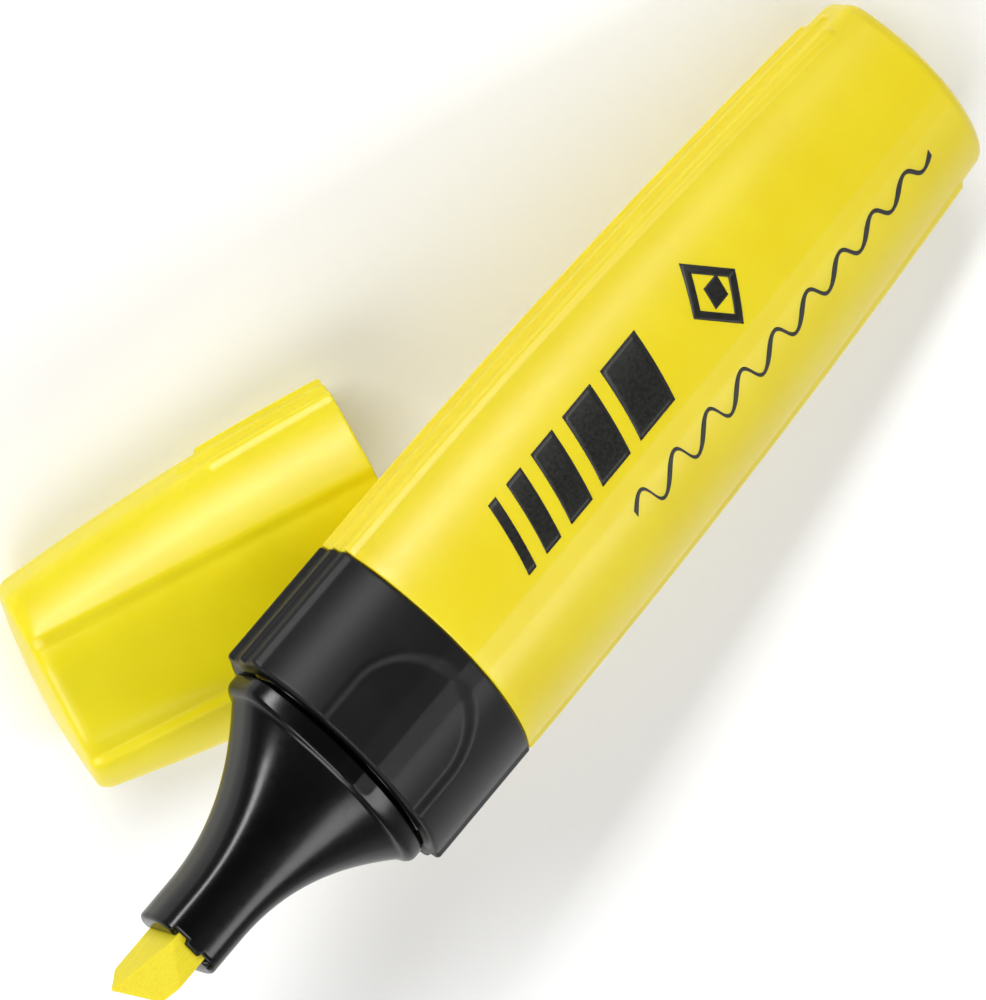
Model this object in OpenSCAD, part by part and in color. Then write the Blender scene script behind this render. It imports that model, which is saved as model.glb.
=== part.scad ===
// Flat highlighter with a slanted chisel nib, lying uncapped with its nib end propped on its own cap.
// Each piece is drawn in the local frame of the pen or of the cap: X across the broad face, Y through
// the thickness, Z along the length. place_pen() and place_cap() then lay the pieces on the ground.

/* [Pen body] */
// Width of the body at the grip collar, without the ribs
body_w = 26.2; // [25:0.1:28]
// Thickness of the body at the grip collar
body_t = 17.2; // [16.4:0.1:18]
// Height of the flat part of the narrow sides
side_h = 6.4; // [5:0.1:7]
// Length of the grip collar
collar_len = 13.4; // [12:0.1:15]
// Length of the barrel behind the collar, up to the edge of its closed end
barrel_len = 71.5; // [68:0.5:76]
// Share of the width that the barrel loses towards its closed end
barrel_taper = 0.226; // [0.15:0.001:0.23]
// Wall of the barrel
barrel_wall = 1.3; // [1:0.1:1.5]
// Bulge of the closed end
end_dome = 0.9; // [0.4:0.1:1.5]

/* [Ribs and channel] */
// Height of a rib above the narrow side
rib_h = 0.4; // [0.2:0.05:0.6]
// Radius of a rib
rib_r = 0.7; // [0.6:0.05:0.9]
// Spacing of the three ribs on each narrow side
rib_pitch = 2.3; // [2:0.1:2.6]
// Width of the shallow channel along each broad face of the cap
channel_w = 13; // [10:0.5:15]
// Depth of the channel
channel_d = 0.5; // [0.3:0.05:0.6]
// Level of the flat along the middle of the channel's floor, as a share of the crown's height
floor_level = 0.915; // [0.91:0.001:0.94]

/* [Nib and holder] */
// Width of the nib, across the broad face
nib_w = 3.6; // [3.2:0.1:4]
// Thickness of the nib, which is the length of its writing edge
nib_t = 5.5; // [5:0.1:6]
// Distance that the nib stands out of the holder
nib_out = 7; // [6:0.1:8]
// Length of the holder in front of the collar
holder_len = 22.4; // [21:0.1:24]
// Width of the holder's tube
tube_w = 7.9; // [7.6:0.1:8.2]
// Thickness of the holder's tube
tube_t = 7; // [6.9:0.1:8]

/* [Ink reservoir] */
// Diameter of the fibre core
core_d = 10.2; // [9.6:0.1:10.4]
// Length of the fibre core
core_len = 66; // [60:0.5:67]
// Thickness of the film around the core
film_t = 0.2; // [0.1:0.05:0.25]

/* [Cap] */
// Length of the cap
cap_len = 35.2; // [34:0.1:37]
// Width of the cap at its mouth, without the ribs
cap_w = 26.6; // [26.4:0.1:28]
// Thickness of the cap at its mouth
cap_t = 17.6; // [17.4:0.1:18.4]
// Share of the width that the cap loses towards its closed end
cap_taper_w = 0.2; // [0.12:0.01:0.24]
// Share of the thickness that the cap loses towards its closed end
cap_taper_t = 0.16; // [0.08:0.01:0.18]
// Wall of the cap
cap_wall = 1.4; // [1.2:0.1:1.5]

/* [Hidden] */
$fn = 64;

// How the pieces lie: the cap on its broad face along +X, the pen across it with its back end down.
// pen_at is the middle of the collar's front, cap_at the middle of the cap's closed end.
pen_yaw = 15.7;
pen_pitch = 15.57;
pen_roll = 1;
pen_at = [-26.9, -9.43, 29.0];
cap_at = [-45.16, 0.67];

// Section shape: exponent of the squared corners, and the slope at each edge of the channel
corner_power = 8;
channel_slope = 1.3;
channel_in = channel_w / 2 - channel_slope / 2;
channel_out = channel_w / 2 + channel_slope / 2;
edge_steps = 7;

fit_gap = 0.05;
seam_gap = 0.12;
overlap = 0.2;
big = 60;

// Grip: the arch in which the cap's channel ends
arch_r = channel_w / 2;
arch_top = collar_len - 2.3;
fin_w = 1.2;

// Holder: neck behind the snap bead, the bead, and the flare that narrows to the tube. The three
// sections hold their width, thickness and height of the side.
skirt_end = collar_len + 6;
skirt_inset = 1.6;
skirt_wall = 1.3;
neck_z = -0.3;
bead_z = -1.4;
shoulder_z = -2.4;
tube_z = -18.5;
neck = [20.6, 12.2, 5];
bead = [23.4, 13.4, 5.8];
shoulder = [21.8, 12.8, 5.8];
flare_power = 2.2;
lip_power = 1.2;
tube_power = 3.5;
cone_wall = 1.4;
hollow_z = -11;
sleeve_wall = 1;
web_z = 8;
web_t = 1;
web_slot = [2.5, 4];
web_slot_x = 7.5;
seat_wall = 0.7;
seat_len = 6;
vent_w = 1.8;
vent_d = 0.5;
lip_r = 0.5;
side_shares = [0, 0.55, 0.87];
top_shares = [1, 0.92, 0.81, 0.68, 0.52, 0.35, 0.17];

// Inner seal of the cap: a cup that closes over the holder's tube
seal_gap = 0.15;
seal_wall = 0.8;
seal_floor = 0.9;
seal_len = 16.5;
cap_floor = 1.6;
channel_wall = 0.75;

core_z = web_z + web_t + 0.05;
tail_len = 2;
tail_r = 1.4;
edge_r = 1;
end_z = collar_len + barrel_len;
tip_z = -holder_len - nib_out;

// ---- sections and lofts ----

// Half the thickness of a crowned face with squared corners, at x
function face_y(x, half_w, half_t, half_side) =
    (half_side + (half_t - half_side) * (1 - pow(x / half_w, 2)))
    * pow(max(0, 1 - pow(abs(x / half_w), corner_power)), 1 / corner_power);

// Half the width over which the crown stands above the level of the channel's flat floor
function flat_edge(half_w, half_t, half_side) =
    min(0.9 * channel_in, half_w * sqrt((1 - floor_level) * half_t / (half_t - half_side)));

// Share of the channel's depth at x: 1 on its floor, 0 outside it
function channel_share(x) =
    max(0, min(1, (channel_out - abs(x)) / channel_slope));

// Places across the face, from one side to the other, close together at the corners
function half_stations(half_w) =
    [for (k = [0 : edge_steps])
        channel_out + (half_w - channel_out) * (1 - pow(1 - k / edge_steps, 3))];
function face_stations(half_w, flat) = let (outer = half_stations(half_w)) concat(
    [for (k = [edge_steps : -1 : 0]) outer[k]],
    [channel_in, (channel_in + flat) / 2, flat, flat / 2, 0],
    [-flat / 2, -flat, -(channel_in + flat) / 2, -channel_in],
    [for (k = [0 : edge_steps]) -outer[k]]
);

// One ring of the body's section at height z. The crown is cut off at top, and sunk by depth along
// the channel.
function body_ring(z, half_w, half_t, half_side, top, depth = 0) =
    let (
        xs = face_stations(half_w, flat_edge(half_w, half_t, half_side)),
        ys = [
            for (x = xs) min(top, face_y(x, half_w, half_t, half_side)) - depth * channel_share(x)
        ],
        last = len(xs) - 1
    )
    concat(
        [for (i = [0 : last]) [xs[i], ys[i], z]],
        [for (i = [last - 1 : -1 : 1]) [xs[i], -ys[i], z]]
    );

// One quarter of a squared section, from the middle of the narrow side to the top of the crown. The
// stations are shares of the way to the corner's own point, so they keep their order at any power.
function quarter_ring(half_w, half_t, half_side, power) =
    let (
        corner = pow(0.5, 1 / power),
        across = function (share) pow(1 - pow(share * corner, power), 1 / power),
        crown = function (u) half_side + (half_t - half_side) * (1 - u * u)
    )
    concat(
        [for (v = side_shares) [across(v) * half_w, v * corner * crown(across(v))]],
        [for (u = top_shares) [u * corner * half_w, across(u) * crown(u * corner)]],
        [[0, half_t]]
    );

// Squared section for the holder and the seal, at height z. size holds the full width, thickness and
// height of the side.
function squared_ring(z, size, inset, power) =
    let (
        quarter = quarter_ring(
            size[0] / 2 - inset, size[1] / 2 - inset, size[2] / 2 - inset, power
        ),
        last = len(quarter) - 1
    )
    concat(
        [for (i = [0 : last]) [quarter[i][0], quarter[i][1], z]],
        [for (i = [last - 1 : -1 : 0]) [-quarter[i][0], quarter[i][1], z]],
        [for (i = [1 : last]) [-quarter[i][0], -quarter[i][1], z]],
        [for (i = [last - 1 : -1 : 1]) [quarter[i][0], -quarter[i][1], z]]
    );

// A ring shrunk towards the axis by a margin in millimetres and moved to height z
function inset_ring(ring, half_w, half_t, margin, z) = [
    for (p = ring) [p[0] * (1 - margin / half_w), p[1] * (1 - margin / half_t), z]
];

// A ring scaled about the axis and moved to height z
function scaled_ring(ring, k, z) = [for (p = ring) [p[0] * k, p[1] * k, z]];

// Solid through a list of flat rings that all have the same number of points
module loft(rings) {
    n = len(rings[0]);
    m = len(rings);
    sides = [
        for (k = [0 : m - 2]) for (i = [0 : n - 1]) for (half = [0 : 1])
            let (j = (i + 1) % n)
            half == 0
                ? [(k + 1) * n + j, k * n + j, k * n + i]
                : [(k + 1) * n + i, (k + 1) * n + j, k * n + i]
    ];
    bottom = [[for (i = [0 : n - 1]) i]];
    top = [[for (i = [n - 1 : -1 : 0]) (m - 1) * n + i]];
    polyhedron(points = [for (r = rings) for (p = r) p], faces = concat(sides, bottom, top));
}

// ---- profiles along the pen and the cap ----

// Share of the collar's size that the barrel keeps at height z
function barrel_share(z) = 1 - barrel_taper * pow(max(0, z - collar_len) / barrel_len, 2);

function barrel_ring(z, inset = 0) = let (k = barrel_share(z), half_t = body_t / 2 * k - inset)
    body_ring(z, body_w / 2 * k - inset, half_t, side_h / 2 * k, half_t);

// Section of the collar, and of the skirt and the hollow inside it
function collar_ring(z, inset = 0, half_side = side_h / 2) =
    body_ring(z, body_w / 2 - inset, body_t / 2 - inset, half_side, body_t / 2 - inset);

// Shares of the mouth's size that the cap keeps at height z above its closed end
function cap_share_w(z) = 1 - cap_taper_w * pow(1 - z / cap_len, 2);
function cap_share_t(z) = 1 - cap_taper_t * (1 - z / cap_len);

// Half the distance between the flats that cut off the cap's crowns at height z
function cap_flat(z) = cap_t / 2 * floor_level * cap_share_t(z);

function cap_ring(z, inset, top, depth) =
    body_ring(
        z, cap_w / 2 * cap_share_w(z) - inset, cap_t / 2 * cap_share_t(z) - inset,
        side_h / 2 * cap_share_t(z), top, depth
    );
function cap_outer_ring(z) = cap_ring(z, 0, cap_flat(z), channel_d);
function cap_hollow_ring(z) = cap_ring(z, cap_wall, cap_flat(z) - channel_d - channel_wall, 0);

// Rings that round the edge of a closed end and dome it; side is 1 for an end that faces up
function end_rings(ring, half_w, half_t, z, dome, side) = concat(
    [for (a = [30 : 30 : 90])
        inset_ring(
            ring, half_w, half_t, edge_r * (1 - cos(a)), z + side * edge_r * (sin(a) - 1))],
    [for (k = [0.75, 0.45, 0.1]) scaled_ring(ring, k, z + side * dome * (1 - k * k))]
);

function reversed(list) = [for (i = [len(list) - 1 : -1 : 0]) list[i]];

// One rib along a narrow side, given the heights of its rings and the side's distance at each.
// open_low and open_high leave that end square instead of rounding it off.
module rib(heights, half_ws, y, open_low = false, open_high = false) {
    last = len(heights) - 1;
    loft([
        for (i = [0 : last])
            let (
                end = (i == 0 && !open_low) || (i == last && !open_high),
                r = end ? rib_r * 0.4 : rib_r,
                x = half_ws[i] + rib_h - rib_r
            )
            [for (a = [0 : 36 : 324]) [x + r * cos(a), y + r * sin(a), heights[i]]]
    ]);
}

// The three ribs on both narrow sides; the outer two are shorter by less_low and less_high
module side_ribs(low, high, less_low, less_high, half_w_at, open_low, open_high) {
    for (row = [-1 : 1])
        let (
            z0 = low + abs(row) * less_low,
            z1 = high - abs(row) * less_high,
            inner = [for (k = [0 : 8]) z0 + rib_r / 2 + (z1 - z0 - rib_r) * k / 8],
            heights = concat([z0], inner, [z1]),
            half_ws = [for (z = heights) half_w_at(z)]
        )
        for (side = [0, 180])
            rotate([0, 0, side])
                rib(heights, half_ws, row * rib_pitch, open_low, open_high);
}

module place_pen() {
    translate(pen_at)
        rotate([pen_roll, pen_pitch, pen_yaw])
            rotate([90, 0, 90])
                children();
}

// The cap lies on the flat floor of its lower channel
module place_cap() {
    lie = atan((cap_flat(cap_len) - cap_flat(0)) / cap_len);
    rest = (cap_flat(0) - channel_d) * cos(lie);
    translate([cap_at[0], cap_at[1], rest])
        rotate([0, -lie, 0])
            rotate([90, 0, 90])
                children();
}

// ---- the pen ----

module barrel() {
    half_w = body_w / 2 * barrel_share(end_z);
    half_t = body_t / 2 * barrel_share(end_z);
    steps = 12;
    outer = concat(
        [for (k = [0 : steps]) barrel_ring(collar_len + (barrel_len - edge_r) * k / steps)],
        end_rings(barrel_ring(end_z), half_w, half_t, end_z, end_dome, 1)
    );
    hollow_end = end_z - barrel_wall;
    hollow = [
        for (k = [0 : 6])
            let (z = collar_len - overlap + (hollow_end - collar_len) * k / 6)
            barrel_ring(z, barrel_wall)
    ];
    color("gold")
        place_pen() {
            difference() {
                union() {
                    loft(outer);
                    side_ribs(
                        collar_len, end_z - 2.7, 0, 1.4,
                        function (z) body_w / 2 * barrel_share(z), true, false
                    );
                }
                difference() {
                    loft(hollow);
                    centring_fins();
                }
            }
        }
}

// Two fins inside the barrel that hold the core in the middle of its width
module centring_fins() {
    reach = core_d / 2 + film_t + fit_gap;
    fin_z = skirt_end + 2;
    for (side = [-1, 1])
        translate([side * (reach + body_w / 4), 0, (fin_z + end_z) / 2])
            cube([body_w / 2, fin_w, end_z - fin_z], center = true);
}

module grip_collar() {
    color([0.09, 0.09, 0.1])
        place_pen() {
            difference() {
                union() {
                    loft([
                        collar_ring(0, lip_r / 2),
                        collar_ring(lip_r),
                        collar_ring(collar_len - seam_gap)
                    ]);
                    side_ribs(
                        lip_r, collar_len - seam_gap, 0, 0, function (z) body_w / 2, false, true
                    );
                }
                loft([for (z = [-overlap, collar_len + overlap]) collar_ring(z, skirt_inset)]);
                arch_recesses();
            }
        }
}

// The channel's end on the collar: a shallow recess with a round arch, on both broad faces
module arch_recesses() {
    floor_ring = collar_ring(0, channel_d);
    difference() {
        for (side = [0, 180])
            rotate([90, 0, side])
                linear_extrude(height = body_t)
                    hull() {
                        translate([0, arch_top - arch_r])
                            circle(r = arch_r);
                        translate([0, -1])
                            square([2 * arch_r, 2], center = true);
                    }
        loft([for (z = [-big, big]) [for (p = floor_ring) [p[0], p[1], z]]]);
    }
}

// Share of the way from the tube (0) to the shoulder (1) that the flare has reached at height z
function flare(z) = pow(max(0, (z - tube_z) / (shoulder_z - tube_z)), flare_power);
function cone_ring(z, inset = 0) = let (k = flare(z), tube = [tube_w, tube_t, tube_t])
    squared_ring(
        z, tube + (shoulder - tube) * k, inset, tube_power + (corner_power - tube_power) * k * k
    );

// The lip that turns the flare outwards into the snap bead; a runs from 0 to 90
function lip_ring(a) =
    squared_ring(
        bead_z - (bead_z - shoulder_z) * cos(a),
        shoulder + (bead - shoulder) * pow(sin(a), lip_power), 0, corner_power
    );

module holder_outside() {
    loft(concat(
        [cone_ring(-holder_len, lip_r / 2)],
        [cone_ring(-holder_len + lip_r)],
        [for (k = [0 : 12]) cone_ring(tube_z + (shoulder_z - tube_z) * k / 12)],
        [for (a = [30 : 30 : 90]) lip_ring(a)],
        [squared_ring(neck_z - 0.3, bead, 0, corner_power)],
        [for (z = [neck_z, overlap]) squared_ring(z, neck, 0, corner_power)]
    ));
    loft([for (z = [0, skirt_end]) skirt_ring(z, skirt_inset + fit_gap)]);
}

function skirt_ring(z, inset) = collar_ring(z, inset, side_h / 2 - 0.4);

// Inside of the cone and of the skirt, open at the back; a web across it carries the sleeve
module holder_hollow() {
    difference() {
        union() {
            loft([for (k = [0 : 6]) cone_ring(hollow_z + (shoulder_z - hollow_z) * k / 6, cone_wall)]);
            loft([
                for (z = [shoulder_z - 0.01, 1])
                    squared_ring(z, shoulder, cone_wall, corner_power)
            ]);
            loft([
                for (z = [0.6, skirt_end + overlap])
                    skirt_ring(z, skirt_inset + fit_gap + skirt_wall)
            ]);
        }
        translate([0, 0, web_z + web_t / 2])
            difference() {
                cube([big, big, web_t], center = true);
                for (side = [-1, 1])
                    translate([side * web_slot_x, 0, 0])
                        cube([web_slot[0], web_slot[1], 2 * web_t], center = true);
            }
    }
}

module nib_holder() {
    sleeve = [nib_w + 2 * (sleeve_wall + fit_gap), nib_t + 2 * (sleeve_wall + fit_gap)];
    color([0.02, 0.02, 0.02])
        place_pen() {
            difference() {
                union() {
                    difference() {
                        holder_outside();
                        holder_hollow();
                    }
                    translate([-sleeve[0] / 2, -sleeve[1] / 2, hollow_z - 1])
                        cube([sleeve[0], sleeve[1], web_z + web_t - hollow_z + 1]);
                    translate([0, 0, web_z])
                        cylinder(r = core_d / 2 + 2 * fit_gap + seat_wall, h = seat_len);
                }
                cube([nib_w + 2 * fit_gap, nib_t + 2 * fit_gap, big], center = true);
                translate([0, 0, web_z + web_t])
                    cylinder(r = core_d / 2 + 2 * fit_gap, h = big);
                for (x = [-1, 1]) for (y = [-1, 1])
                    translate([x * nib_w / 2, y * nib_t / 2, -holder_len])
                        cube([vent_w, vent_w, 2 * vent_d], center = true);
            }
        }
}

// Chisel tip: a block cut by two slanted faces that meet in the writing edge, from high to low
module nib() {
    half_w = nib_w / 2;
    half_t = nib_t / 2;
    high = [half_w, -0.4, tip_z];
    low = [-half_w, half_t * 0.67, tip_z + 2.1];
    near_left = [half_w, half_t, -holder_len - 0.5];
    far_left = [half_w, -half_t, tip_z + 2.2];
    near_right = [-half_w, half_t, plane_z(high, low, near_left, -half_w, half_t)];
    far_right = [-half_w, -half_t, plane_z(high, low, far_left, -half_w, -half_t)];
    root = [for (c = [[1, 1], [-1, 1], [-1, -1], [1, -1]]) [c[0] * half_w, c[1] * half_t, core_z - 1]];
    color([0.93, 0.87, 0.1])
        place_pen() {
            polyhedron(
                points = concat(root, [near_left, near_right, high, low, far_left, far_right]),
                faces = [
                    [3, 2, 1, 0], [0, 1, 5, 4], [4, 5, 7, 6], [3, 0, 4, 6, 8],
                    [1, 2, 9, 7, 5], [2, 3, 8, 9], [6, 7, 9, 8]
                ]
            );
            translate([0, 0, core_z - 1 - overlap])
                cylinder(r = tail_r, h = 1 + overlap + tail_len);
        }
}

// Height at (x, y) of the plane through three points
function plane_z(a, b, c, x, y) =
    let (n = cross(b - a, c - a))
    a[2] - (n[0] * (x - a[0]) + n[1] * (y - a[1])) / n[2];

module ink_reservoir() {
    color([0.95, 0.93, 0.45])
        place_pen()
            translate([0, 0, core_z])
                cylinder(r = core_d / 2, h = core_len);
}

// The film starts behind the seat that holds the front of the core
module reservoir_film() {
    film_z = web_z + seat_len + 0.3;
    color([0.97, 0.97, 0.9])
        place_pen()
            difference() {
                translate([0, 0, film_z])
                    cylinder(r = core_d / 2 + film_t, h = core_z + core_len - film_z);
                cylinder(r = core_d / 2, h = 2 * big);
            }
}

// ---- the cap ----

module cap_shell() {
    half_w = cap_w / 2 * cap_share_w(0);
    half_t = cap_t / 2 * cap_share_t(0);
    closed_end = end_rings(cap_outer_ring(0), half_w, half_t, 0, end_dome * 0.8, -1);
    steps = 8;
    color("gold")
        place_cap() {
            difference() {
                union() {
                    loft(concat(
                        reversed(closed_end),
                        [
                            for (k = [0 : steps])
                                cap_outer_ring(edge_r + (cap_len - edge_r) * k / steps)
                        ]
                    ));
                    side_ribs(
                        cap_len - 15.8, cap_len, 2.4, 0,
                        function (z) cap_w / 2 * cap_share_w(z), false, true
                    );
                }
                loft([
                    for (k = [0 : 6])
                        cap_hollow_ring(cap_floor + (cap_len + overlap - cap_floor) * k / 6)
                ]);
            }
        }
}

module cap_inner_seal() {
    tube = [tube_w, tube_t, tube_t];
    seal_z = cap_floor + fit_gap;
    color([0.93, 0.9, 0.55])
        place_cap()
            difference() {
                loft([
                    for (z = [seal_z, seal_z + seal_len])
                        squared_ring(z, tube, -seal_gap - seal_wall, tube_power)
                ]);
                loft([
                    for (z = [seal_z + seal_floor, seal_z + seal_len + overlap])
                        squared_ring(z, tube, -seal_gap, tube_power)
                ]);
            }
}

barrel();
grip_collar();
nib_holder();
nib();
ink_reservoir();
reservoir_film();
cap_shell();
cap_inner_seal();
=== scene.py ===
"""Looks of a flat highlighter that lies uncapped, its nib end propped on its own cap.

Lengths are in millimetres until a mesh is made. Each piece is drawn in the local frame of the pen
or of the cap: X across the broad face, Y through the thickness, Z along the length.
"""

import math

import bmesh
import bpy
import numpy as np
from mathutils import Euler, Matrix, Vector


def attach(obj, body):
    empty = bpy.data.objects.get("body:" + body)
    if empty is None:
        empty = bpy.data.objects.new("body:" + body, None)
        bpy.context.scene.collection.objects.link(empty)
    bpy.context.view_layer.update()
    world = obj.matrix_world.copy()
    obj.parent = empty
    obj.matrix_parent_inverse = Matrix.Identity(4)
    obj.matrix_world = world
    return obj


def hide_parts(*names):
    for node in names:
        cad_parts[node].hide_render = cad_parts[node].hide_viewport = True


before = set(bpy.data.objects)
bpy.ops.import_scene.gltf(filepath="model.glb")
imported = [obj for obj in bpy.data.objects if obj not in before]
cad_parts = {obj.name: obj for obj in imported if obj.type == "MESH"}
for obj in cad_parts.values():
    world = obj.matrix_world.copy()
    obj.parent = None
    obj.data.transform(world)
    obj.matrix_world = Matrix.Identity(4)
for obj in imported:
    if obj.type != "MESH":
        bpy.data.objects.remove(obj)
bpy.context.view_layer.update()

MM = 0.001

# ---- sizes of the pen and the cap, as in the part unless a comment says otherwise ----

BODY_W, BODY_T, SIDE_H = 26.2, 17.2, 6.4
COLLAR_LEN, BARREL_LEN, BARREL_TAPER, BARREL_WALL, END_DOME = 13.4, 71.5, 0.226, 1.3, 0.9
END_Z = COLLAR_LEN + BARREL_LEN
# RIB_HALF is half the width of a rib where it meets the side
RIB_H, RIB_HALF, RIB_PITCH = 0.4, 0.63, 2.3
CHANNEL_W, CHANNEL_D = 13, 0.5
# Width of the channel's eased edge; the part's edge is straight and 1.3 wide
CHANNEL_SLOPE = 1.5
NIB_W, NIB_T, NIB_OUT = 3.6, 5.5, 7
HOLDER_LEN = 22.4
TIP_Z = -HOLDER_LEN - NIB_OUT
TUBE_Z, SHOULDER_Z, BEAD_Z, NECK_Z = -18.5, -2.4, -1.4, -0.3
FLARE_POWER, LIP_POWER = 2.2, 1.2
# Hidden in the barrel; the part's skirt ends at 19.4 and its web at 9
SKIRT_END, WEB_TOP = 19, 9.2
CAP_LEN, CAP_W, CAP_T, CAP_WALL = 35.2, 26.6, 17.6, 1.4
CAP_TAPER_W, CAP_TAPER_T = 0.2, 0.16
FLOOR_LEVEL, CHANNEL_WALL = 0.915, 0.75
CAP_FLOOR, FIT_GAP, SEAM_GAP = 1.6, 0.05, 0.12
SEAL_LEN, SEAL_WALL, SEAL_GAP = 16.5, 0.8, 0.15
ARCH_SETBACK = 2.3

# Width, thickness and side height of the holder's sections
TUBE = (7.9, 7, 7)
SHOULDER = (21.8, 12.8, 5.8)
BEAD = (23.4, 13.4, 5.8)
NECK = (20.6, 12.2, 5)

# Exponents of the squared corners: the higher, the sharper. The part has 8 at the shoulder and 3.5 at
# the tube; rounder corners catch a broader highlight.
CORNER_POWER = 8
SHOULDER_POWER = 4.6
TUBE_POWER = 2.9
BORE_POWER = 12

# Points round a section of the barrel, the collar or the cap
RING_POINTS = 440
# Share of an inset that half the height of a side loses
SIDE_INSET = 0.3

# Ribs that run past an end stay square there
PAST_END = 5

PEN_AT = (-26.9, -9.43, 29.0)
PEN_TURN = (1, 15.57, 15.7)
CAP_AT = (-45.16, 0.67)


# ---- frames ----

def turn(x, y, z):
    """Rotation about X, then Y, then Z, in degrees."""
    return Euler([math.radians(a) for a in (x, y, z)], "XYZ").to_matrix().to_4x4()


def pen_frame():
    """From the pen's local frame to the row frame: Z runs back along the pen, Y out of its upper face."""
    return Matrix.Translation(PEN_AT) @ turn(*PEN_TURN) @ turn(90, 0, 90)


def cap_flat(z):
    """Half the distance between the flats that cut off the cap's crowns at height z."""
    return CAP_T / 2 * FLOOR_LEVEL * (1 - CAP_TAPER_T * (1 - z / CAP_LEN))


def cap_frame():
    """From the cap's local frame to the row frame. The cap lies on the flat floor of its channel."""
    lie = math.atan((cap_flat(CAP_LEN) - cap_flat(0)) / CAP_LEN)
    rest = (cap_flat(0) - CHANNEL_D) * math.cos(lie)
    return Matrix.Translation((*CAP_AT, rest)) @ turn(0, -math.degrees(lie), 0) @ turn(90, 0, 90)


# ---- sections ----

def angles(first, last, step):
    """Angles in radians, from degrees, with both ends."""
    return [math.radians(a) for a in np.arange(first, last + step / 2, step)]


def smooth(value):
    """Eases a ramp from 0 to 1 at both ends."""
    share = np.clip(value, 0, 1)
    return share * share * (3 - 2 * share)


def face_height(x, half_w, half_t, half_side):
    """Height of a crowned face with squared corners above the middle plane, at x."""
    share = np.clip(np.abs(x / half_w), 0, 1)
    crown = half_side + (half_t - half_side) * (1 - share**2)
    return crown * (1 - share**CORNER_POWER) ** (1 / CORNER_POWER)


def crowned_ring(half_w, half_t, half_side, count, dense=3.0, power=CORNER_POWER):
    """Closed section of the body, with its points closer together on the narrow sides by dense times."""
    a = np.linspace(0, 2 * math.pi, 8001)
    c, s = np.cos(a), np.sin(a)
    x = half_w * np.sign(c) * np.abs(c) ** (2 / power)
    crown = half_side + (half_t - half_side) * (1 - (x / half_w) ** 2)
    y = crown * np.sign(s) * np.abs(s) ** (2 / power)
    step = np.hypot(np.diff(x), np.diff(y))
    side = np.abs(x[:-1]) > half_w * 0.985
    length = np.concatenate([[0], np.cumsum(step * np.where(side, dense, 1))])
    even = np.arange(count) / count * length[-1]
    return np.stack([np.interp(even, length, x), np.interp(even, length, y)], 1)


def squared_ring(size, inset, power, count):
    """Closed section of the holder or the seal. size holds its width, thickness and side height."""
    half = [length / 2 - inset for length in size]
    return crowned_ring(*half, count, 1.0, power)


def at_height(ring, z):
    """A flat ring as points at height z, which may be one number or one for each point."""
    return np.column_stack([ring, np.broadcast_to(z, len(ring))])


# ---- meshes ----

def add_mesh(name, points, faces, place):
    """A smooth-shaded mesh object in the row frame, from points in millimetres in a local frame."""
    turned = np.array(place.to_3x3())
    world = (np.asarray(points) @ turned.T + np.array(place.translation)) * MM
    mesh = bpy.data.meshes.new(name)
    mesh.from_pydata(world.tolist(), [], faces)
    mesh.polygons.foreach_set("use_smooth", [True] * len(mesh.polygons))
    mesh.update()
    piece = bpy.data.objects.new(name, mesh)
    bpy.context.scene.collection.objects.link(piece)
    return piece


def lathe(name, rings, place, closed=False):
    """Skin over rings with equal numbers of points, in order. A closed one joins the last ring to the
    first; an open one gets a point at the middle of its first and last rings."""
    n, m = len(rings[0]), len(rings)
    points = np.concatenate(rings)
    i, k = np.meshgrid(np.arange(n), np.arange(m if closed else m - 1))
    here, over = k * n, (k + 1) % m * n
    beside = (i + 1) % n
    quads = np.stack([here + i, here + beside, over + beside, over + i], -1).reshape(-1, 4)
    faces = quads.tolist()
    if not closed:
        points = np.concatenate([points, [rings[0].mean(0), rings[-1].mean(0)]])
        last = (m - 1) * n
        for j in range(n):
            faces.append([j, m * n, (j + 1) % n])
            faces.append([last + j, last + (j + 1) % n, m * n + 1])
    piece = add_mesh(name, points, faces, place)
    face_out(piece)
    return piece


def face_out(piece):
    """Turns every face of a closed mesh outwards."""
    work = bmesh.new()
    work.from_mesh(piece.data)
    bmesh.ops.recalc_face_normals(work, faces=work.faces)
    if work.calc_volume(signed=True) < 0:
        bmesh.ops.reverse_faces(work, faces=work.faces)
    work.to_mesh(piece.data)
    work.free()


def finish_piece(piece, body, slot, material, *nodes):
    """Gives a piece its body and material, and hides the CAD nodes that it stands for. Its slot is not
    used.
    """
    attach(piece, body)
    if nodes:
        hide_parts(*nodes)
    piece.data.materials.append(material)


# ---- relief on the body ----

def ribs(points, z_low, z_high, shorter_low, shorter_high):
    """Raises three round-ended ribs on both narrow sides. The outer two are shorter."""
    x, y, z = points.T
    height = np.zeros(len(points))
    for row in (-1, 0, 1):
        low = z_low + abs(row) * shorter_low
        high = z_high - abs(row) * shorter_high
        past = np.maximum(np.maximum(low - z, z - high), 0)
        away = np.hypot(y - row * RIB_PITCH, past) / RIB_HALF
        height = np.maximum(height, RIB_H * (1 - smooth((away - 0.3) / 0.85)))
    on_side = np.abs(x) > np.abs(x).max() * 0.9
    points = points.copy()
    points[:, 0] += np.sign(x) * height * on_side
    return points


def flatten_crown(points, level, ease=0.4):
    """Cuts the crowns off at a level on both broad faces, with a gentle change of slope."""
    points = points.copy()
    height = np.abs(points[:, 1])
    cut = (height + level - np.sqrt((height - level) ** 2 + ease**2)) / 2
    keep = smooth((height - level * 0.7) / (level * 0.1))
    points[:, 1] = np.sign(points[:, 1]) * (height + (cut - height) * keep)
    return points


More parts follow.
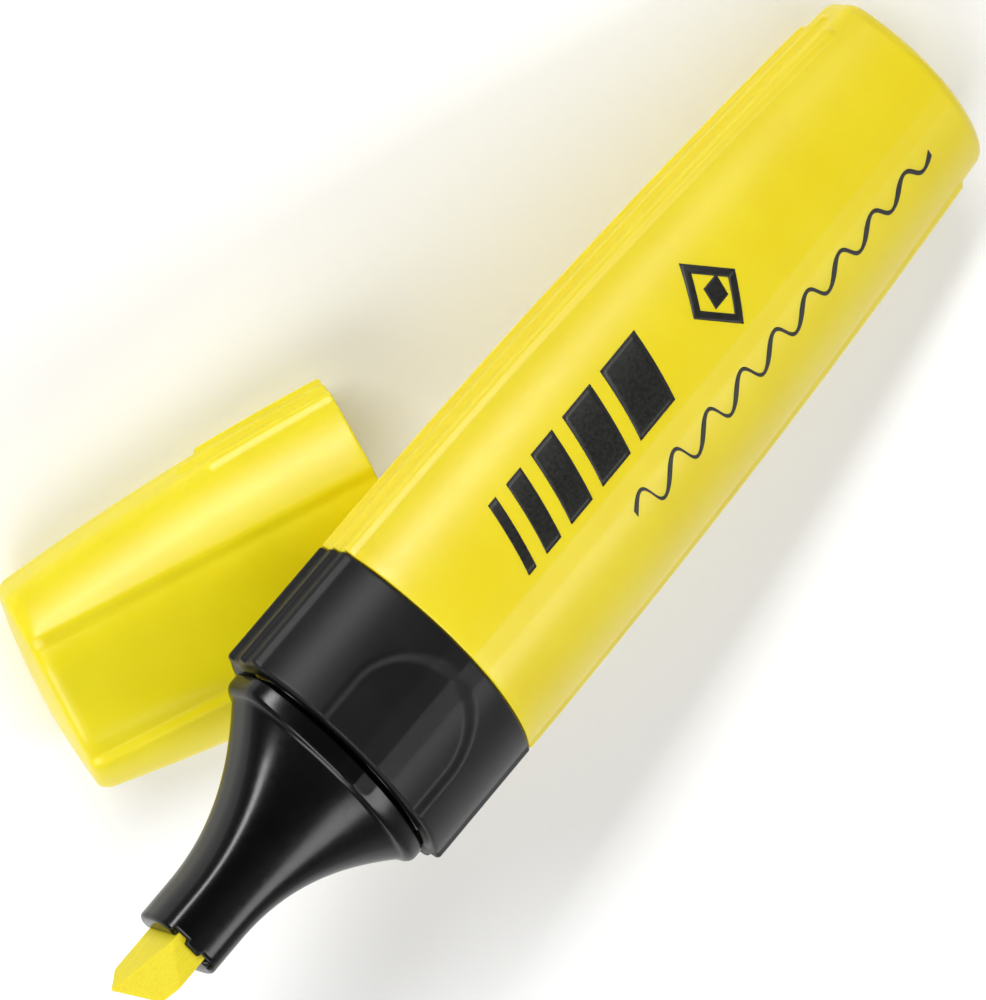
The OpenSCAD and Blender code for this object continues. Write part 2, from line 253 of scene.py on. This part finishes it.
def sink_channel(points):
    """Sinks the shallow channel along both broad faces of the cap."""
    points = points.copy()
    share = smooth((CHANNEL_W / 2 + CHANNEL_SLOPE / 2 - np.abs(points[:, 0])) / CHANNEL_SLOPE)
    points[:, 1] -= np.sign(points[:, 1]) * CHANNEL_D * share * on_face(points)
    return points


def sink_arch(points):
    """Sinks the arch on both broad faces of the collar, where the cap's channel would end."""
    x, _, z = points.T
    points = points.copy()
    radius = CHANNEL_W / 2
    middle = COLLAR_LEN - ARCH_SETBACK - radius
    outside = np.hypot(x, np.maximum(z - middle, 0)) - radius
    share = smooth((CHANNEL_SLOPE / 2 - outside) / CHANNEL_SLOPE)
    points[:, 1] -= np.sign(points[:, 1]) * CHANNEL_D * share * on_face(points)
    return points


def on_face(points):
    """1 on the broad faces and 0 on the narrow sides."""
    return np.abs(points[:, 1]) > SIDE_H / 2 * 0.6


# ---- the pen ----

def barrel_share(z):
    """Share of the collar's size that the barrel keeps at height z."""
    return 1 - BARREL_TAPER * (np.maximum(0, z - COLLAR_LEN) / BARREL_LEN) ** 2


def barrel_ring(z, inset=0.0, at=None, count=RING_POINTS):
    """Section of the barrel with the size that it has at z, laid at another height if one is given."""
    share = barrel_share(min(z, END_Z))
    ring = crowned_ring(
        BODY_W / 2 * share - inset, BODY_T / 2 * share - inset,
        SIDE_H / 2 * share - inset * SIDE_INSET, count)
    return at_height(ring, z if at is None else at)


def rounded_end(ring_at, z, radius, dome, side, steps=9):
    """Rings over a closed end: a quarter circle round the edge, then a dome to the middle."""
    edge = [
        ring_at(radius * (1 - math.cos(a)), z - side * radius * (1 - math.sin(a)))
        for a in angles(90 / steps, 90, 90 / steps)
    ]
    top = edge[-1]
    rings = edge[:-1]
    for k in (1, 0.985, 0.95, 0.88, 0.76, 0.6, 0.42, 0.24, 0.08):
        ring = top * (k, k, 1)
        ring[:, 2] = z + side * dome * (1 - k * k)
        rings.append(ring)
    return rings


def barrel():
    """Closed shell with ribs on its narrow sides, rounded and domed at its back end."""
    front, lip, edge = COLLAR_LEN, 0.22, 1.1
    rib_end, outer_rib_shorter = END_Z - 2.9, 1.4
    heights = np.concatenate([
        np.linspace(front + lip, rib_end - 3, 56),
        np.linspace(rib_end - 3, END_Z - edge, 30)[1:],
    ])
    outer = [
        barrel_ring(front, lip * (1 - math.sin(a)), front + lip * (1 - math.cos(a)))
        for a in angles(0, 90, 30)
    ]
    outer += [barrel_ring(z) for z in heights[1:]]
    outer = [ribs(ring, front - PAST_END, rib_end, 0, outer_rib_shorter) for ring in outer]
    end = rounded_end(lambda inset, at: barrel_ring(END_Z, inset, at), END_Z, edge, END_DOME, 1)
    hollow_end = END_Z - BARREL_WALL
    hollow = [barrel_ring(z, BARREL_WALL) for z in np.linspace(front, hollow_end, 9)]
    return lathe("barrel_shell", hollow[::-1] + outer + end, PEN)


def collar_ring(z, inset=0.0, count=RING_POINTS):
    """Section of the grip collar, the same all along."""
    ring = crowned_ring(
        BODY_W / 2 - inset, BODY_T / 2 - inset, SIDE_H / 2 - inset * SIDE_INSET, count)
    return at_height(ring, z)


def collar():
    """Ring with rounded ends, ribs on its narrow sides and an arch on both broad faces."""
    wall, front_r, rear_r = 1.6, 0.35, 0.2
    rear = COLLAR_LEN - SEAM_GAP
    quarter = angles(0, 90, 22.5)
    front = [collar_ring(front_r * (1 - math.cos(a)), front_r * (1 - math.sin(a))) for a in quarter]
    sides = [collar_ring(z) for z in np.linspace(front_r, rear - rear_r, 80)[1:]]
    back = [
        collar_ring(rear - rear_r * (1 - math.sin(a)), rear_r * (1 - math.cos(a)))
        for a in quarter[1:]
    ]
    ribbed = [ribs(ring, -PAST_END, COLLAR_LEN + PAST_END, 0, 0) for ring in front + sides + back]
    outer = [sink_arch(ring) for ring in ribbed]
    inner = [collar_ring(z, wall) for z in (rear, rear * 0.5, 0)]
    return lathe("grip_collar_ring", outer + inner, PEN, closed=True)


def between(low, high, share):
    """Sizes part of the way from one set to another."""
    return [a + (b - a) * share for a, b in zip(low, high)]


def mouth_notch(ring):
    """How far the holder's mouth is cut back at each point: a notch by each corner of the nib."""
    depth, middle, half_width, ease = 0.45, 1.75, 0.95, 0.14
    x, y = np.abs(ring.T)
    across = smooth((half_width - np.abs(x - middle)) / ease)
    return depth * across * (y > NIB_T / 2 - 0.2)


def holder():
    """Plug with the nib's bore, a notched mouth, a flared cone, a snap bead, a neck and a skirt."""
    count, lip, edge = 480, 0.45, 0.3
    mouth = -HOLDER_LEN
    bore = (NIB_W, NIB_T, NIB_T)
    rings = []

    def add(size, inset, power, z, notch=0.0):
        ring = squared_ring(size, inset, power, count)
        rings.append(at_height(ring, z + notch * mouth_notch(ring)))

    for z in (9, 0, -12, mouth + 1.2):
        add(bore, -FIT_GAP, BORE_POWER, z)
    for grow, rise in ((0.05, 0.3), (0.09, 0.1), (0.25, 0)):
        add(bore, -grow, BORE_POWER, mouth + rise, 1)
    for a in angles(0, 90, 15):
        add(TUBE, lip * (1 - math.sin(a)), TUBE_POWER, mouth + lip * (1 - math.cos(a)), 1)
    add(TUBE, 0, TUBE_POWER, mouth + 0.6, 0.8)
    add(TUBE, 0, TUBE_POWER, mouth + 1.2)
    for z in np.linspace(mouth + 2, SHOULDER_Z, 60):
        share = (max(0, z - TUBE_Z) / (SHOULDER_Z - TUBE_Z)) ** FLARE_POWER
        power = TUBE_POWER + (SHOULDER_POWER - TUBE_POWER) * share
        add(between(TUBE, SHOULDER, share), 0, power, z)
    for a in angles(10, 90, 10):
        size = between(SHOULDER, BEAD, math.sin(a) ** LIP_POWER)
        power = SHOULDER_POWER + (CORNER_POWER - SHOULDER_POWER) * math.sin(a)
        add(size, 0, power, BEAD_Z - (BEAD_Z - SHOULDER_Z) * math.cos(a))
    for a in angles(0, 90, 15):
        add(BEAD, edge * (1 - math.cos(a)), CORNER_POWER, NECK_Z - edge + edge * math.sin(a))
    neck_end = 0.5
    for z in (NECK_Z, neck_end):
        add(NECK, 0, CORNER_POWER, z)
    skirt, skirt_gap, skirt_wall = (BODY_W - 3.3, BODY_T - 3.3, SIDE_H - 0.8), 0.3, 1.3
    for inset, z in (
        (skirt_gap, neck_end), (skirt_gap, SKIRT_END), (skirt_wall, SKIRT_END), (skirt_wall, WEB_TOP)
    ):
        add(skirt, inset, CORNER_POWER, z)
    return lathe("nib_holder_cone", rings, PEN, closed=True)


def plane_z(a, b, c, x, y):
    """Height at (x, y) of the plane through three points."""
    n = (b - a).cross(c - a)
    return a.z - (n.x * (x - a.x) + n.y * (y - a.y)) / n.z


def nib():
    """Block cut by two slanted faces that meet in the writing edge, from high to low."""
    root_z, edge_round = 8, 0.16
    half_w, half_t = NIB_W / 2, NIB_T / 2
    high = Vector((half_w, -0.4, TIP_Z))
    low = Vector((-half_w, half_t * 0.67, TIP_Z + 2.1))
    near_left = Vector((half_w, half_t, -HOLDER_LEN - 0.5))
    far_left = Vector((half_w, -half_t, TIP_Z + 2.2))
    near_right = Vector((-half_w, half_t, plane_z(high, low, near_left, -half_w, half_t)))
    far_right = Vector((-half_w, -half_t, plane_z(high, low, far_left, -half_w, -half_t)))
    corners = ((1, 1), (-1, 1), (-1, -1), (1, -1))
    root = [Vector((x * half_w, y * half_t, root_z)) for x, y in corners]
    points = [tuple(p) for p in (*root, near_left, near_right, high, low, far_left, far_right)]
    faces = [
        [3, 2, 1, 0], [0, 1, 5, 4], [4, 5, 7, 6], [3, 0, 4, 6, 8],
        [1, 2, 9, 7, 5], [2, 3, 8, 9], [6, 7, 9, 8],
    ]
    piece = add_mesh("chisel_nib", points, faces, PEN)
    face_out(piece)
    soften(piece, edge_round, 3)
    return piece


def soften(piece, width, segments):
    """Rounds every edge of a piece by a width in millimetres."""
    bevel = piece.modifiers.new("soften", "BEVEL")
    bevel.width = width * MM
    bevel.segments = segments
    bevel.limit_method = "ANGLE"
    bevel.angle_limit = math.radians(12)
    bevel.harden_normals = True
    apply_modifiers(piece)


def apply_modifiers(piece):
    """Turns a piece's modifiers into plain mesh."""
    graph = bpy.context.evaluated_depsgraph_get()
    mesh = bpy.data.meshes.new_from_object(piece.evaluated_get(graph))
    piece.modifiers.clear()
    piece.data = mesh


# ---- the cap ----

def cap_section(z, inset, at, count=RING_POINTS):
    """Section of the cap without its flats and channels."""
    share_w = 1 - CAP_TAPER_W * (1 - z / CAP_LEN) ** 2
    share_t = 1 - CAP_TAPER_T * (1 - z / CAP_LEN)
    ring = crowned_ring(
        CAP_W / 2 * share_w - inset, CAP_T / 2 * share_t - inset,
        SIDE_H / 2 * share_t - inset * SIDE_INSET, count)
    return at_height(ring, z if at is None else at)


def cap_ring(z, inset=0.0, at=None):
    """Outer section of the cap, with its channels."""
    return sink_channel(flatten_crown(cap_section(z, inset, at), cap_flat(z) - inset))


def hollow_ring(z, inset=0.0, at=None):
    """Section of the cap's hollow."""
    level = cap_flat(z) - CHANNEL_D - CHANNEL_WALL - inset
    return flatten_crown(cap_section(z, CAP_WALL + inset, at), level)


def cap():
    """Shell with a domed closed end, channels on its broad faces, ribs at its mouth and a hollow."""
    edge, lip, inner_lip_r, floor_round = 1.0, 0.3, 0.2, 0.4
    rib_start, outer_rib_shorter = CAP_LEN - 15.8, 2.4
    quarter = angles(0, 90, 22.5)
    end = rounded_end(lambda inset, at: cap_ring(0, inset, at), 0, edge, END_DOME * 0.8, -1)
    heights = np.concatenate([
        np.linspace(edge, rib_start - 1, 26),
        np.linspace(rib_start - 1, rib_start + 4, 36)[1:],
        np.linspace(rib_start + 4, CAP_LEN - lip, 12)[1:],
    ])
    sides = [cap_ring(z) for z in heights]
    rim = [
        cap_ring(CAP_LEN, lip * (1 - math.cos(a)), CAP_LEN - lip * (1 - math.sin(a)))
        for a in quarter[1:]
    ]
    outer = [
        ribs(ring, rib_start + RIB_HALF, CAP_LEN + PAST_END, outer_rib_shorter, 0)
        for ring in sides + rim
    ]
    inner_lip = [
        hollow_ring(
            CAP_LEN, -inner_lip_r * (1 - math.sin(a)), CAP_LEN - inner_lip_r * (1 - math.cos(a)))
        for a in quarter
    ]
    inner = [
        hollow_ring(z) for z in np.linspace(CAP_LEN - 2 * inner_lip_r, CAP_FLOOR + floor_round, 8)
    ]
    inner.append(hollow_ring(CAP_FLOOR, floor_round))
    return lathe("cap_shell_body", end[::-1] + outer + inner_lip + inner, CAP)


def seal():
    """Cup on the cap's floor that closes over the holder's tube."""
    count = 200
    bottom = CAP_FLOOR + FIT_GAP
    top = bottom + SEAL_LEN
    outside = -SEAL_GAP - SEAL_WALL
    rings = []

    def add(inset, z):
        rings.append(at_height(squared_ring(TUBE, inset, TUBE_POWER, count), z))

    add(outside, bottom)
    add(outside, bottom + 1)
    for a in angles(0, 180, 15):
        add(-SEAL_GAP - SEAL_WALL / 2 * (1 + math.cos(a)), top - SEAL_WALL / 2 * (1 - math.sin(a)))
    add(-SEAL_GAP, bottom + 1.3)
    add(-SEAL_GAP + 0.4, bottom + 0.9)
    return lathe("cap_seal_cup", rings, CAP)


# ---- print on the barrel ----

PRINT_RISE = 0.018
SLANT = 0.32


def barrel_face(x, z):
    """Height of the barrel's upper face at (x, z)."""
    share = barrel_share(z)
    return face_height(x, BODY_W / 2 * share, BODY_T / 2 * share, SIDE_H / 2 * share)


def ink_patch(where, across, along):
    """Points and faces of a thin slab of ink on the barrel's face. where(u, v) gives (x, z)."""
    u, v = np.meshgrid(np.linspace(0, 1, along + 1), np.linspace(0, 1, across + 1))
    x, z = where(u.ravel(), v.ravel())
    y = barrel_face(x, z)
    top = np.column_stack([x, y + PRINT_RISE, z])
    under = np.column_stack([x, y - PRINT_RISE, z])
    row, size = along + 1, len(top)
    faces = []
    for j in range(across):
        for i in range(along):
            a = j * row + i
            quad = [a, a + 1, a + 1 + row, a + row]
            faces.append(quad)
            faces.append([size + k for k in reversed(quad)])
    border = [
        *range(along), *range(along, size - 1, row),
        *range(size - 1, size - row, -1), *range(size - row, 0, -row),
    ]
    for a, b in zip(border, border[1:] + border[:1]):
        faces.append([b, a, size + a, size + b])
    return np.concatenate([top, under]), faces


def bar(z0, width, x_low, x_high):
    """A slanted bar across the barrel. Its width runs along the barrel."""
    def where(u, v):
        x = x_low + (x_high - x_low) * v
        return x, z0 + width * u + SLANT * (x - x_low)
    return ink_patch(where, 14, 8)


def stroke(z0, z1, middle, half, wave, turns, fade):
    """A pen stroke along the barrel: its middle line waves less and less, and its width varies."""
    def where(u, v):
        z = z0 + (z1 - z0) * u
        swing = wave * (1 - fade * u) * np.sin(u * turns * 2 * math.pi)
        width = half * (0.75 + 0.25 * np.cos(u * turns * 4 * math.pi))
        return middle + swing + width * (2 * v - 1), z + 0.35 * swing
    return ink_patch(where, 4, 360)


def lozenge(z_mid, x_mid, outer, inner):
    """A diamond-shaped ring."""
    def where(u, v):
        size = inner + (outer - inner) * v
        corner = u * 4
        side = np.floor(corner) % 4
        part = corner - np.floor(corner)
        a, b = side * math.pi / 2, (side + 1) * math.pi / 2
        along = np.cos(a) * (1 - part) + np.cos(b) * part
        across = np.sin(a) * (1 - part) + np.sin(b) * part
        return x_mid + size * across, z_mid + size * along * 0.8
    return ink_patch(where, 3, 64)


def printed_mark():
    """A plain scale of stroke widths with a wavy line beside it."""
    patches = []
    z, thinnest, thicker, space = 22.5, 1.1, 1.0, 1.5
    for k in range(5):
        width = thinnest + thicker * k
        patches.append(bar(z, width, x_low=0.9, x_high=7.6))
        z += width + space
    patches.append(lozenge(z_mid=53.8, x_mid=4.3, outer=3.9, inner=2.6))
    patches.append(bar(52.8, 1.9, x_low=3.3, x_high=5.3))
    patches.append(stroke(34, 79, middle=-3.6, half=0.4, wave=1.35, turns=9, fade=0.45))
    points, faces, start = [], [], 0
    for p, f in patches:
        points.append(p)
        faces += [[start + i for i in face] for face in f]
        start += len(p)
    return add_mesh("printed_stroke_scale", np.concatenate(points), faces, PEN)


# ---- materials ----

def new_material(name):
    """A new material, its node tree and its principled shader."""
    material = bpy.data.materials.new(name)
    material.use_nodes = True
    return material, material.node_tree, material.node_tree.nodes["Principled BSDF"]


def object_point(tree, scale):
    """The surface point in millimetres times scale, fixed to the piece."""
    source = tree.nodes.new("ShaderNodeTexCoord")
    mapping = tree.nodes.new("ShaderNodeMapping")
    mapping.inputs["Scale"].default_value = scale
    tree.links.new(source.outputs["Object"], mapping.inputs["Vector"])
    return mapping.outputs["Vector"]


def noise(tree, point, scale, detail=3.0, roughness=0.5):
    """Noise at a point, from 0 to 1."""
    node = tree.nodes.new("ShaderNodeTexNoise")
    node.inputs["Scale"].default_value = scale
    node.inputs["Detail"].default_value = detail
    node.inputs["Roughness"].default_value = roughness
    tree.links.new(point, node.inputs["Vector"])
    return node.outputs["Fac"]


def ramp(tree, value, stops):
    """Colours at places along a value from 0 to 1."""
    node = tree.nodes.new("ShaderNodeValToRGB")
    elements = node.color_ramp.elements
    while len(elements) < len(stops):
        elements.new(0.5)
    for element, (place, colour) in zip(elements, stops):
        element.position = place
        element.color = (*colour, 1)
    tree.links.new(value, node.inputs["Fac"])
    return node.outputs["Color"]


def spread(tree, value, low, high):
    """Stretches a noise value to the range from low to high."""
    node = tree.nodes.new("ShaderNodeMapRange")
    node.inputs["From Min"].default_value = 0.3
    node.inputs["From Max"].default_value = 0.7
    node.inputs["To Min"].default_value = low
    node.inputs["To Max"].default_value = high
    tree.links.new(value, node.inputs["Value"])
    return node.outputs["Result"]


def bump(tree, shader, height, distance, strength=1.0):
    """Fine relief from a height from 0 to 1, over a distance in millimetres."""
    node = tree.nodes.new("ShaderNodeBump")
    node.inputs["Distance"].default_value = distance * MM
    node.inputs["Strength"].default_value = strength
    tree.links.new(height, node.inputs["Height"])
    tree.links.new(node.outputs["Normal"], shader.inputs["Normal"])


def yellow_plastic(name, deep, pale):
    """Moulded fluorescent plastic: smooth satin gloss, a trace of flow marks and fine orange peel."""
    material, tree, shader = new_material(name)
    point = object_point(tree, (1000, 1000, 1000))
    flow = noise(tree, point, 0.12, 2)
    tree.links.new(ramp(tree, flow, [(0.3, deep), (0.7, pale)]), shader.inputs["Base Color"])
    tree.links.new(spread(tree, noise(tree, point, 1.1, 4), 0.3, 0.36), shader.inputs["Roughness"])
    shader.inputs["Subsurface Weight"].default_value = 0.25
    shader.inputs["Subsurface Radius"].default_value = (1, 0.75, 0.08)
    shader.inputs["Subsurface Scale"].default_value = 1.2 * MM
    shader.inputs["IOR"].default_value = 1.5
    bump(tree, shader, noise(tree, point, 2.2, 2), 0.004)
    return material


def satin_black():
    """Finely textured black plastic of the grip."""
    material, tree, shader = new_material("satin_black_plastic")
    point = object_point(tree, (1000, 1000, 1000))
    tone = noise(tree, point, 0.25, 3)
    tree.links.new(
        ramp(tree, tone, [(0.3, (0.008, 0.008, 0.0082)), (0.7, (0.011, 0.011, 0.0112))]),
        shader.inputs["Base Color"])
    grain = noise(tree, point, 9, 2, 0.6)
    tree.links.new(spread(tree, grain, 0.32, 0.38), shader.inputs["Roughness"])
    shader.inputs["IOR"].default_value = 1.3
    bump(tree, shader, grain, 0.006)
    return material


def gloss_black():
    """Polished black plastic of the nib holder."""
    material, tree, shader = new_material("gloss_black_plastic")
    point = object_point(tree, (1000, 1000, 1000))
    tone = noise(tree, point, 0.3, 2)
    tree.links.new(
        ramp(tree, tone, [(0.3, (0.0008, 0.0008, 0.0009)), (0.7, (0.0016, 0.0016, 0.0018))]),
        shader.inputs["Base Color"])
    tree.links.new(spread(tree, noise(tree, point, 1.5, 4), 0.18, 0.22), shader.inputs["Roughness"])
    shader.inputs["IOR"].default_value = 1.42
    bump(tree, shader, noise(tree, point, 0.6, 1), 0.004)
    return material


def fibre(name, dark, light, place, length_scale=0.35):
    """Bonded fibres that run along the pen, soaked with ink."""
    material, tree, shader = new_material(name)
    source = tree.nodes.new("ShaderNodeTexCoord")
    mapping = tree.nodes.new("ShaderNodeMapping")
    mapping.inputs["Rotation"].default_value = place.inverted().to_euler("XYZ")
    tree.links.new(source.outputs["Object"], mapping.inputs["Vector"])
    stretch = tree.nodes.new("ShaderNodeMapping")
    stretch.inputs["Scale"].default_value = (9000, 9000, 1000 * length_scale)
    tree.links.new(mapping.outputs["Vector"], stretch.inputs["Vector"])
    strands = noise(tree, stretch.outputs["Vector"], 1, 4, 0.6)
    tree.links.new(ramp(tree, strands, [(0.3, dark), (0.65, light)]), shader.inputs["Base Color"])
    tree.links.new(spread(tree, strands, 0.5, 0.7), shader.inputs["Roughness"])
    shader.inputs["Subsurface Weight"].default_value = 0.3
    shader.inputs["Subsurface Radius"].default_value = (1, 0.8, 0.1)
    shader.inputs["Subsurface Scale"].default_value = 0.6 * MM
    bump(tree, shader, strands, 0.02, 0.6)
    return material


def print_ink():
    """Black screen-printing ink, a little uneven."""
    material, tree, shader = new_material("black_print_ink")
    point = object_point(tree, (1000, 1000, 1000))
    tone = noise(tree, point, 3, 3)
    tree.links.new(
        ramp(tree, tone, [(0.3, (0.007, 0.007, 0.006)), (0.7, (0.012, 0.012, 0.01))]),
        shader.inputs["Base Color"])
    tree.links.new(spread(tree, tone, 0.36, 0.5), shader.inputs["Roughness"])
    return material


def clear_film():
    """Thin film round the fibre core."""
    material, tree, shader = new_material("core_film")
    point = object_point(tree, (1000, 1000, 1000))
    tone = noise(tree, point, 0.5, 2)
    tree.links.new(
        ramp(tree, tone, [(0.3, (0.8, 0.8, 0.66)), (0.7, (0.88, 0.88, 0.76))]),
        shader.inputs["Base Color"])
    tree.links.new(spread(tree, tone, 0.12, 0.25), shader.inputs["Roughness"])
    return material


def floor_paper():
    """Plain pale studio floor."""
    material, tree, shader = new_material("studio_floor")
    point = object_point(tree, (1, 1, 1))
    tone = noise(tree, point, 3, 2)
    tree.links.new(
        ramp(tree, tone, [(0.3, (0.93, 0.93, 0.93)), (0.7, (0.95, 0.95, 0.95))]),
        shader.inputs["Base Color"])
    shader.inputs["Roughness"].default_value = 0.9
    shader.inputs["Specular IOR Level"].default_value = 0.1
    return material


# ---- stage ----

TARGET = Vector((-3.34, 4.01, 26.67)) * MM
TO_CAMERA = Vector((-0.1298, 0.3718, 0.9192)).normalized()
CAMERA_RIGHT = Vector((0.8676, -0.4061, 0.2868)).normalized()
CAMERA_UP = TO_CAMERA.cross(CAMERA_RIGHT)
CAMERA_FAR = 0.7
LENS = 281


def add_camera():
    """Long lens from 67 degrees above the ground, turned so that the pen runs up to the right."""
    data = bpy.data.cameras.new("camera")
    data.lens = LENS
    data.sensor_width = 36
    data.clip_start, data.clip_end = 0.05, 20
    camera = bpy.data.objects.new("camera", data)
    turned = Matrix((CAMERA_RIGHT, CAMERA_UP, TO_CAMERA)).transposed().to_4x4()
    camera.matrix_world = Matrix.Translation(TARGET + TO_CAMERA * CAMERA_FAR) @ turned
    bpy.context.scene.collection.objects.link(camera)
    bpy.context.scene.camera = camera


def strip_light(name, start, end, far, width, power):
    """A long area light that spans the directions from start to end, seen from the object."""
    start, end = Vector(start).normalized(), Vector(end).normalized()
    way = (start + end).normalized()
    along = (end - start).normalized()
    data = bpy.data.lights.new(name, "AREA")
    data.shape = "RECTANGLE"
    data.size = far * (end - start).length
    data.size_y = width
    data.energy = power
    light = bpy.data.objects.new(name, data)
    turned = Matrix((along, way.cross(along), way)).transposed().to_4x4()
    light.matrix_world = Matrix.Translation(TARGET + way * far) @ turned
    bpy.context.scene.collection.objects.link(light)


def add_world():
    """A pale horizon under a darker sky, so that black plastic stays black."""
    world = bpy.data.worlds.new("studio")
    bpy.context.scene.world = world
    world.use_nodes = True
    tree = world.node_tree
    source = tree.nodes.new("ShaderNodeTexCoord")
    split = tree.nodes.new("ShaderNodeSeparateXYZ")
    tree.links.new(source.outputs["Generated"], split.inputs["Vector"])
    colour = ramp(tree, split.outputs["Z"], [
        (0.0, (0.6, 0.6, 0.6)),
        (0.1, (0.5, 0.5, 0.5)),
        (0.4, (0.16, 0.16, 0.16)),
        (1.0, (0.07, 0.07, 0.07)),
    ])
    tree.links.new(colour, tree.nodes["Background"].inputs["Color"])


def add_stage():
    """Pale floor, a dim sky with a bright horizon and three area lights."""
    size = 3.0
    mesh = bpy.data.meshes.new("floor")
    corners = [(-size, -size, 0), (size, -size, 0), (size, size, 0), (-size, size, 0)]
    mesh.from_pydata(corners, [], [[0, 1, 2, 3]])
    floor = bpy.data.objects.new("floor", mesh)
    bpy.context.scene.collection.objects.link(floor)
    floor.data.materials.append(floor_paper())
    add_world()
    strip_light("key", (0.38, 0.78, 0.5), (-0.6, 0.42, 0.68), far=0.9, width=0.15, power=6.6)
    strip_light("side", (0.75, -0.5, 0.5), (-0.1, -0.62, 0.75), far=0.9, width=0.26, power=3.4)
    strip_light("fill", (-0.9, 0.0, 0.8), (-0.5, -0.6, 0.8), far=1.5, width=0.8, power=11)
    bpy.context.scene.view_settings.view_transform = "Standard"


# ---- the whole ----

PEN = pen_frame()
CAP = cap_frame()


def repaint(node, material):
    """Gives a CAD node that stays a finished material."""
    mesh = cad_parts[node].data
    mesh.materials.clear()
    mesh.materials.append(material)


def main():
    add_camera()
    add_stage()
    barrel_yellow = yellow_plastic("barrel_yellow_plastic", (0.77, 0.62, 0.012), (0.8, 0.66, 0.02))
    cap_yellow = yellow_plastic("cap_yellow_plastic", (0.8, 0.67, 0.003), (0.84, 0.72, 0.008))
    seal_yellow = yellow_plastic("seal_yellow_plastic", (0.8, 0.74, 0.1), (0.86, 0.8, 0.16))
    finish_piece(barrel(), "pen", "barrel_plastic", barrel_yellow, "barrel")
    finish_piece(collar(), "pen", "grip_plastic", satin_black(), "grip_collar")
    finish_piece(holder(), "pen", "holder_plastic", gloss_black(), "nib_holder")
    nib_fibre = fibre("nib_fibre", (0.68, 0.56, 0.003), (0.78, 0.66, 0.008), PEN)
    finish_piece(nib(), "pen", "nib_fibre", nib_fibre, "nib")
    finish_piece(printed_mark(), "pen", "grip_plastic", print_ink())
    finish_piece(cap(), "cap", "cap_plastic", cap_yellow, "cap_shell")
    finish_piece(seal(), "cap", "seal_plastic", seal_yellow, "cap_inner_seal")
    repaint("ink_reservoir", fibre("core_fibre", (0.8, 0.74, 0.1), (0.93, 0.9, 0.3), PEN))
    repaint("reservoir_film", clear_film())


main()
